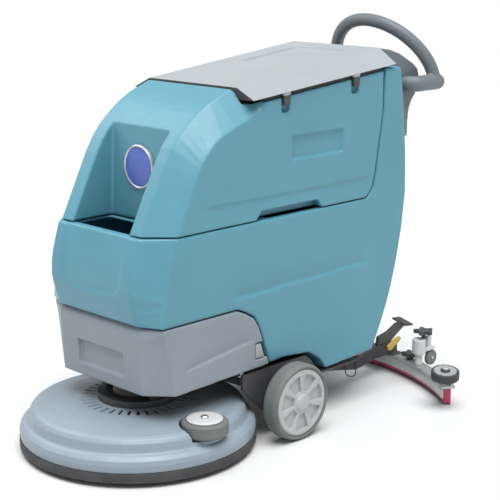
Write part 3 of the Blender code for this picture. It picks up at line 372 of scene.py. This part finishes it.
def recovery_style(x, y, z):
    """The recess on the left side deepened, and the crease that runs low along both sides."""
    push = 0.0
    if abs(x) > 0.17 and z < RECOVERY_CREASE_Z:
        ends = ramp(y, 0.010, 0.080) * (1 - ramp(y, 0.560, 0.625))
        push += 0.0045 * ends * exp(-(RECOVERY_CREASE_Z - z) / 0.030)
    if x > 0.17:
        push += 0.0045 * window(y, 0.3205, 0.4965, 0.003) * window(z, 0.6655, 0.7175, 0.003)
    return (-push if x > 0 else push, 0, 0)


def lid_style(x, y, z):
    """The tray on top deepened, with a finger dimple before it."""
    shift = [0.0, 0.0, 0.0]
    if z > LID_LOW.z + 0.06:
        tray = window(y, 0.434, 0.636, 0.004) * (1 - ramp(abs(x), 0.090, 0.096))
        dimple = exp(-((x / 0.040) ** 4) - (((y - 0.385) / 0.016) ** 2))
        shift[2] = -0.0045 * tray - 0.0050 * dimple
    return shift


def darken_lugs(piece):
    """The two lugs that hang below the lid's left edge are given the black plastic: partly their own darker
    grey, partly painted shade of the notch they sit in.
    """
    piece.data.materials.append(PAINT["black_plastic"])
    for face in piece.data.polygons:
        centre = face.center
        edge_z = LUG_TOP_Z + LUG_RISE * (centre.y - DECK_Y - LUG_Y)
        # partly painted shade: the black also stands for the shadow in the notch around each lug
        if centre.x > 0.189 and centre.z < edge_z - 0.0008:
            face.material_index = 1


def hub_style(x, y, z):
    """The hub filled out towards the tread, with shallow pockets between its spokes."""
    side, outer = (1 if x > 0 else -1), abs(x)
    across, up = y - WHEEL_Y, z - WHEEL_Z
    radius = (across ** 2 + up ** 2) ** 0.5
    shift = [0.0, 0.0, 0.0]
    if 0.2515 < outer < POCKET_FACE_X and 0.0265 < radius < 0.0660:
        shift[0] = side * (POCKET_FACE_X - outer) * 0.62
    if radius > 0.024:
        grow = HUB_GROWTH * ramp(radius, 0.024, 0.060)
        shift[1:] = across * grow, up * grow
    return shift


def tyre_style(x, y, z):
    """The tyre's inside opened to the filled-out hub."""
    across, up = y - WHEEL_Y, z - WHEEL_Z
    radius = (across ** 2 + up ** 2) ** 0.5
    grow = TYRE_GROWTH * (1 - ramp(radius, 0.0765, 0.0905)) / radius
    return (0, across * grow, up * grow)


softened("solution_tank", 0.0030, 8, 0.16, solution_style)
softened("recovery_tank", 0.0028, 7, 0.20, recovery_style)
lid = softened("recovery_lid", 0.0020, 7, 0.20, lid_style, LID_SLOPE)
darken_lugs(lid)
softened("motor_cover", 0.0022, 6, 0.20, cover_style)
softened("deck_cover", 0.0016, 3, 0.30)
softened("console_housing", 0.0024, 8, 0.20)
softened("handle_bar", 0.0026, 10, 0.40)
for name in SIDES:
    softened(f"hub_{name}", 0.0012, 4, 0.35, hub_style)
    softened(f"tyre_{name}", 0.0016, 5, 0.35, tyre_style)
    softened(f"end_roller_{name}", 0.0010, 4, 0.35)
    softened(f"adjuster_knob_{name}", 0.0010, 5, 0.40)
    softened(f"clamp_knob_{name}", 0.0010, 5, 0.40)
    softened(f"caster_adjuster_{name}", 0.0010, 3, 0.35)
    softened(f"squeegee_wheel_{name}", 0.0009, 3, 0.35)
softened("guide_roller", 0.0013, 5, 0.35)
softened("squeegee_casting", 0.0013, 3, 0.30)
softened("squeegee_arm", 0.0013, 4, 0.35)
softened("lift_pedal", 0.0011, 4, 0.40)
softened("lift_latch", 0.0009, 4, 0.40)
REPAINT = {"cover_latch_left": "grey_moulding", "cover_latch_right": "grey_moulding"}
for node in NODES:
    if not NODES[node].hide_render:
        edged(node, EDGE_ROUND, REPAINT.get(node))


# ---------------------------------------------------------------- small pieces that the frame doesn't hold


def lathe(profile, place, turn=Matrix(), steps=48):
    """A closed (radius, height) outline turned about its own Z, then turned and put in place."""
    shape = bmesh.new()
    rings = []
    for i in range(steps):
        angle = 2 * pi * i / steps
        rings.append([shape.verts.new((r * cos(angle), r * sin(angle), h)) for r, h in profile])
    for near, far in zip(rings, rings[1:] + rings[:1]):
        for i in range(len(profile)):
            j = (i + 1) % len(profile)
            shape.faces.new((near[i], near[j], far[j], far[i]))
    bmesh.ops.remove_doubles(shape, verts=shape.verts, dist=1e-6)
    for edge in [edge for edge in shape.edges if not edge.link_faces]:
        shape.edges.remove(edge)
    bmesh.ops.transform(shape, verts=shape.verts, matrix=Matrix.Translation(place) @ turn)
    bmesh.ops.recalc_face_normals(shape, faces=shape.faces)
    return shape


def pipe(points, radius, steps=10):
    """A round bar along the points."""
    shape = bmesh.new()
    side = Vector((0.31, 0.17, 0.93))
    rings = []
    for i, point in enumerate(points):
        ahead = (points[min(i + 1, len(points) - 1)] - points[max(i - 1, 0)]).normalized()
        side = (side - ahead * side.dot(ahead)).normalized()
        up = ahead.cross(side)
        angles = [2 * pi * k / steps for k in range(steps)]
        rings.append([shape.verts.new(point + radius * (side * cos(a) + up * sin(a))) for a in angles])
    for near, far in zip(rings, rings[1:]):
        for i in range(steps):
            j = (i + 1) % steps
            shape.faces.new((near[i], near[j], far[j], far[i]))
    shape.faces.new(rings[0][::-1])
    shape.faces.new(rings[-1])
    bmesh.ops.recalc_face_normals(shape, faces=shape.faces)
    return shape


def extra(name, shape, paint, body, replaces=()):
    """Shows a small piece whose edges stay crisp."""
    return shown(name, to_mesh(shape, name, 40), paint, body, replaces)


def add_badge():
    """A domed enamel disc in a raised silver ring."""
    low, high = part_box("emblem_disc")
    centre = (low + high) / 2
    face = Matrix.Rotation(pi / 2, 4, "X")
    radius = (high.x - low.x) / 2
    front = centre.y - low.y
    back = -0.003
    dome_radius = radius * 0.90
    dome = [(0, front + 0.0015)]
    for degrees in range(10, 91, 10):
        angle = radians(degrees)
        dome.append((dome_radius * sin(angle), front - 0.0010 + 0.0025 * cos(angle)))
    dome += [(dome_radius, back), (0, back)]
    extra("badge_enamel", lathe(dome, centre, face, 72), "emblem_blue", "tank", replaces=["emblem_disc"])
    inner = radius * 0.885
    ring = [
        (inner, back), (radius, back), (radius, front - 0.0005), (radius - 0.0016, front + 0.0012),
        (radius - 0.0036, front + 0.0014), (inner, front - 0.0002),
    ]
    extra("badge_ring", lathe(ring, centre, face, 72), "bright_steel", "tank")


def add_cover_screws():
    """Two pan-head screws that hold the motor cover's flange."""
    head = [
        (0, 0), (0.0060, 0), (0.0060, 0.0016), (0.0048, 0.0030),
        (0.0016, 0.0036), (0.0016, 0.0018), (0, 0.0018),
    ]
    tilt = Matrix.Rotation(radians(62), 4, "X")
    for i, x in enumerate((-0.072, 0.052)):
        extra(f"cover_screw_{i}", lathe(head, at(x, -0.1050, 0.3215), tilt, 20), "black_plastic", "chassis")


def add_roller_top():
    """The pale disc on top of the guide roller, with room for its bolt."""
    low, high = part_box("guide_roller")
    centre = Vector(((low.x + high.x) / 2, (low.y + high.y) / 2, high.z))
    disc = [
        (0.0098, -0.001), (0.0415, -0.001), (0.0415, 0.0012), (0.0400, 0.0026), (0.030, 0.0032),
        (0.017, 0.0034), (0.0098, 0.0030),
    ]
    extra("guide_roller_disc", lathe(disc, centre, steps=64), "white_plastic", "deck_guide_roller")


def add_lid_front_shadow_strip():
    """A thin black strip along the lid's front edge: painted shadow of the dark gap under that edge."""
    corners = [vertex.co for vertex in NODES["recovery_lid"].data.vertices if vertex.co.y < LID_LOW.y + 0.001]
    top_z = max(corner.z for corner in corners)
    edge_z = min(corner.z for corner in corners)
    top_x = max(corner.x for corner in corners if corner.z > top_z - 0.001)
    edge_x = max(corner.x for corner in corners)
    half_top, shadow_strip_top = top_x + 0.001, top_z - 0.001
    outline = [(-edge_x, edge_z), (edge_x, edge_z), (half_top, shadow_strip_top), (-half_top, shadow_strip_top)]
    shape = bmesh.new()
    faces_y = (LID_LOW.y - 0.0022, LID_LOW.y + 0.0020)
    rings = [[shape.verts.new((x, y, z)) for x, z in outline] for y in faces_y]
    shape.faces.new(rings[0])
    shape.faces.new(rings[1][::-1])
    for i in range(4):
        j = (i + 1) % 4
        shape.faces.new((rings[0][i], rings[1][i], rings[1][j], rings[0][j]))
    bmesh.ops.recalc_face_normals(shape, faces=shape.faces)
    bmesh.ops.bevel(shape, geom=list(shape.edges), offset=0.0009, segments=3, affect="EDGES", profile=0.6)
    # painted shadow: the black strip stands for the dark gap under the lid's front edge
    extra("lid_front_shadow_strip", shape, "black_rubber", "lid")


def add_end_roller_tops():
    """A dished grey disc on top of each end roller."""
    for row in frame["record"]["behaviour"]["joints"]:
        if not row["name"].startswith("end_roller_"):
            continue
        axis, centre = Vector(row["axis"]), Vector(row["pos_m"])
        node = row["child"]
        points = [vertex.co - centre for vertex in NODES[node].data.vertices]
        rim = max(point.dot(axis) for point in points if (point - axis * point.dot(axis)).length > 0.018)
        outer = max((point - axis * point.dot(axis)).length for point in points)
        dish = [
            (0.0105, rim - 0.0020), (outer * 0.80, rim - 0.0020), (outer * 0.80, rim + 0.0004),
            (outer * 0.74, rim + 0.0010), (outer * 0.66, rim + 0.0002), (0.0105, rim - 0.0004),
        ]
        turn = axis.to_track_quat("Z", "Y").to_matrix().to_4x4()
        extra(f"{node}_disc", lathe(dish, centre, turn, 56), "grey_moulding", node)


def add_lift_wire():
    """The bent wire that ties the squeegee's arm down."""
    loop = [
        (0.1075, 0.622, 0.090), (0.1085, 0.622, 0.066), (0.1095, 0.624, 0.046), (0.1095, 0.632, 0.036),
        (0.1095, 0.646, 0.031), (0.1095, 0.658, 0.030), (0.1095, 0.6645, 0.034), (0.1090, 0.6655, 0.048),
        (0.1085, 0.6655, 0.066), (0.1080, 0.6650, 0.086),
    ]
    extra("lift_wire", pipe([at(*point) for point in loop], 0.0016), "black_steel", "squeegee")


add_badge()
add_cover_screws()
add_roller_top()
add_lid_front_shadow_strip()
add_end_roller_tops()
add_lift_wire()


# ---------------------------------------------------------------- stage, light and camera


def area_light(name, place, aim, size, energy):
    data = bpy.data.lights.new(name, "AREA")
    data.shape = "DISK"
    data.size = size
    data.energy = energy
    lamp = bpy.data.objects.new(name, data)
    lamp.location = place
    lamp.rotation_euler = (Vector(aim) - Vector(place)).to_track_quat("-Z", "Y").to_euler()
    bpy.context.scene.collection.objects.link(lamp)


def sun_light(name, towards, strength, spread_angle):
    """A broad, even light that comes from the direction given."""
    data = bpy.data.lights.new(name, "SUN")
    data.energy = strength
    data.angle = radians(spread_angle)
    lamp = bpy.data.objects.new(name, data)
    lamp.rotation_euler = Vector(towards).to_track_quat("Z", "Y").to_euler()
    bpy.context.scene.collection.objects.link(lamp)


def add_stage():
    mesh = bpy.data.meshes.new("floor")
    mesh.from_pydata([(-70, -70, 0), (70, -70, 0), (70, 70, 0), (-70, 70, 0)], [], [(0, 1, 2, 3)])
    floor = bpy.data.objects.new("floor", mesh)
    floor.location.z = -0.0005
    bpy.context.scene.collection.objects.link(floor)
    material, tree, shader = node_tree("studio_floor")
    place = tree.nodes.new("ShaderNodeTexCoord").outputs["Object"]
    cloud = spread(tree, noise(tree, place, 3), 0.3, 0.7, 0, 1)
    tone = mixed(tree, cloud, (0.62, 0.62, 0.62), (0.65, 0.65, 0.65))
    tree.links.new(tone, shader.inputs["Base Color"])
    shader.inputs["Roughness"].default_value = 0.8
    mesh.materials.append(material)
    world = bpy.data.worlds.new("studio")
    bpy.context.scene.world = world
    world.use_nodes = True
    world.node_tree.nodes["Background"].inputs[0].default_value = (0.97, 0.985, 1.0, 1)
    world.node_tree.nodes["Background"].inputs[1].default_value = 0.50
    sun_light("key", (0.75, -0.40, 2.6), 3.9, 50)
    area_light("sheen", (-2.1, -0.9, 2.4), (0, -0.2, 0.6), 2.4, 28)


def add_camera():
    data = bpy.data.cameras.new("camera")
    data.sensor_width = 36
    data.lens = LENS
    camera = bpy.data.objects.new("camera", data)
    camera.location = at(2.26481887, -1.88996647, 1.18)
    camera.rotation_euler = (radians(90 - CAMERA_PITCH), 0, radians(CAMERA_TURN))
    bpy.context.scene.collection.objects.link(camera)
    bpy.context.scene.camera = camera


add_stage()
add_camera()
bpy.context.scene.view_settings.view_transform = "Standard"
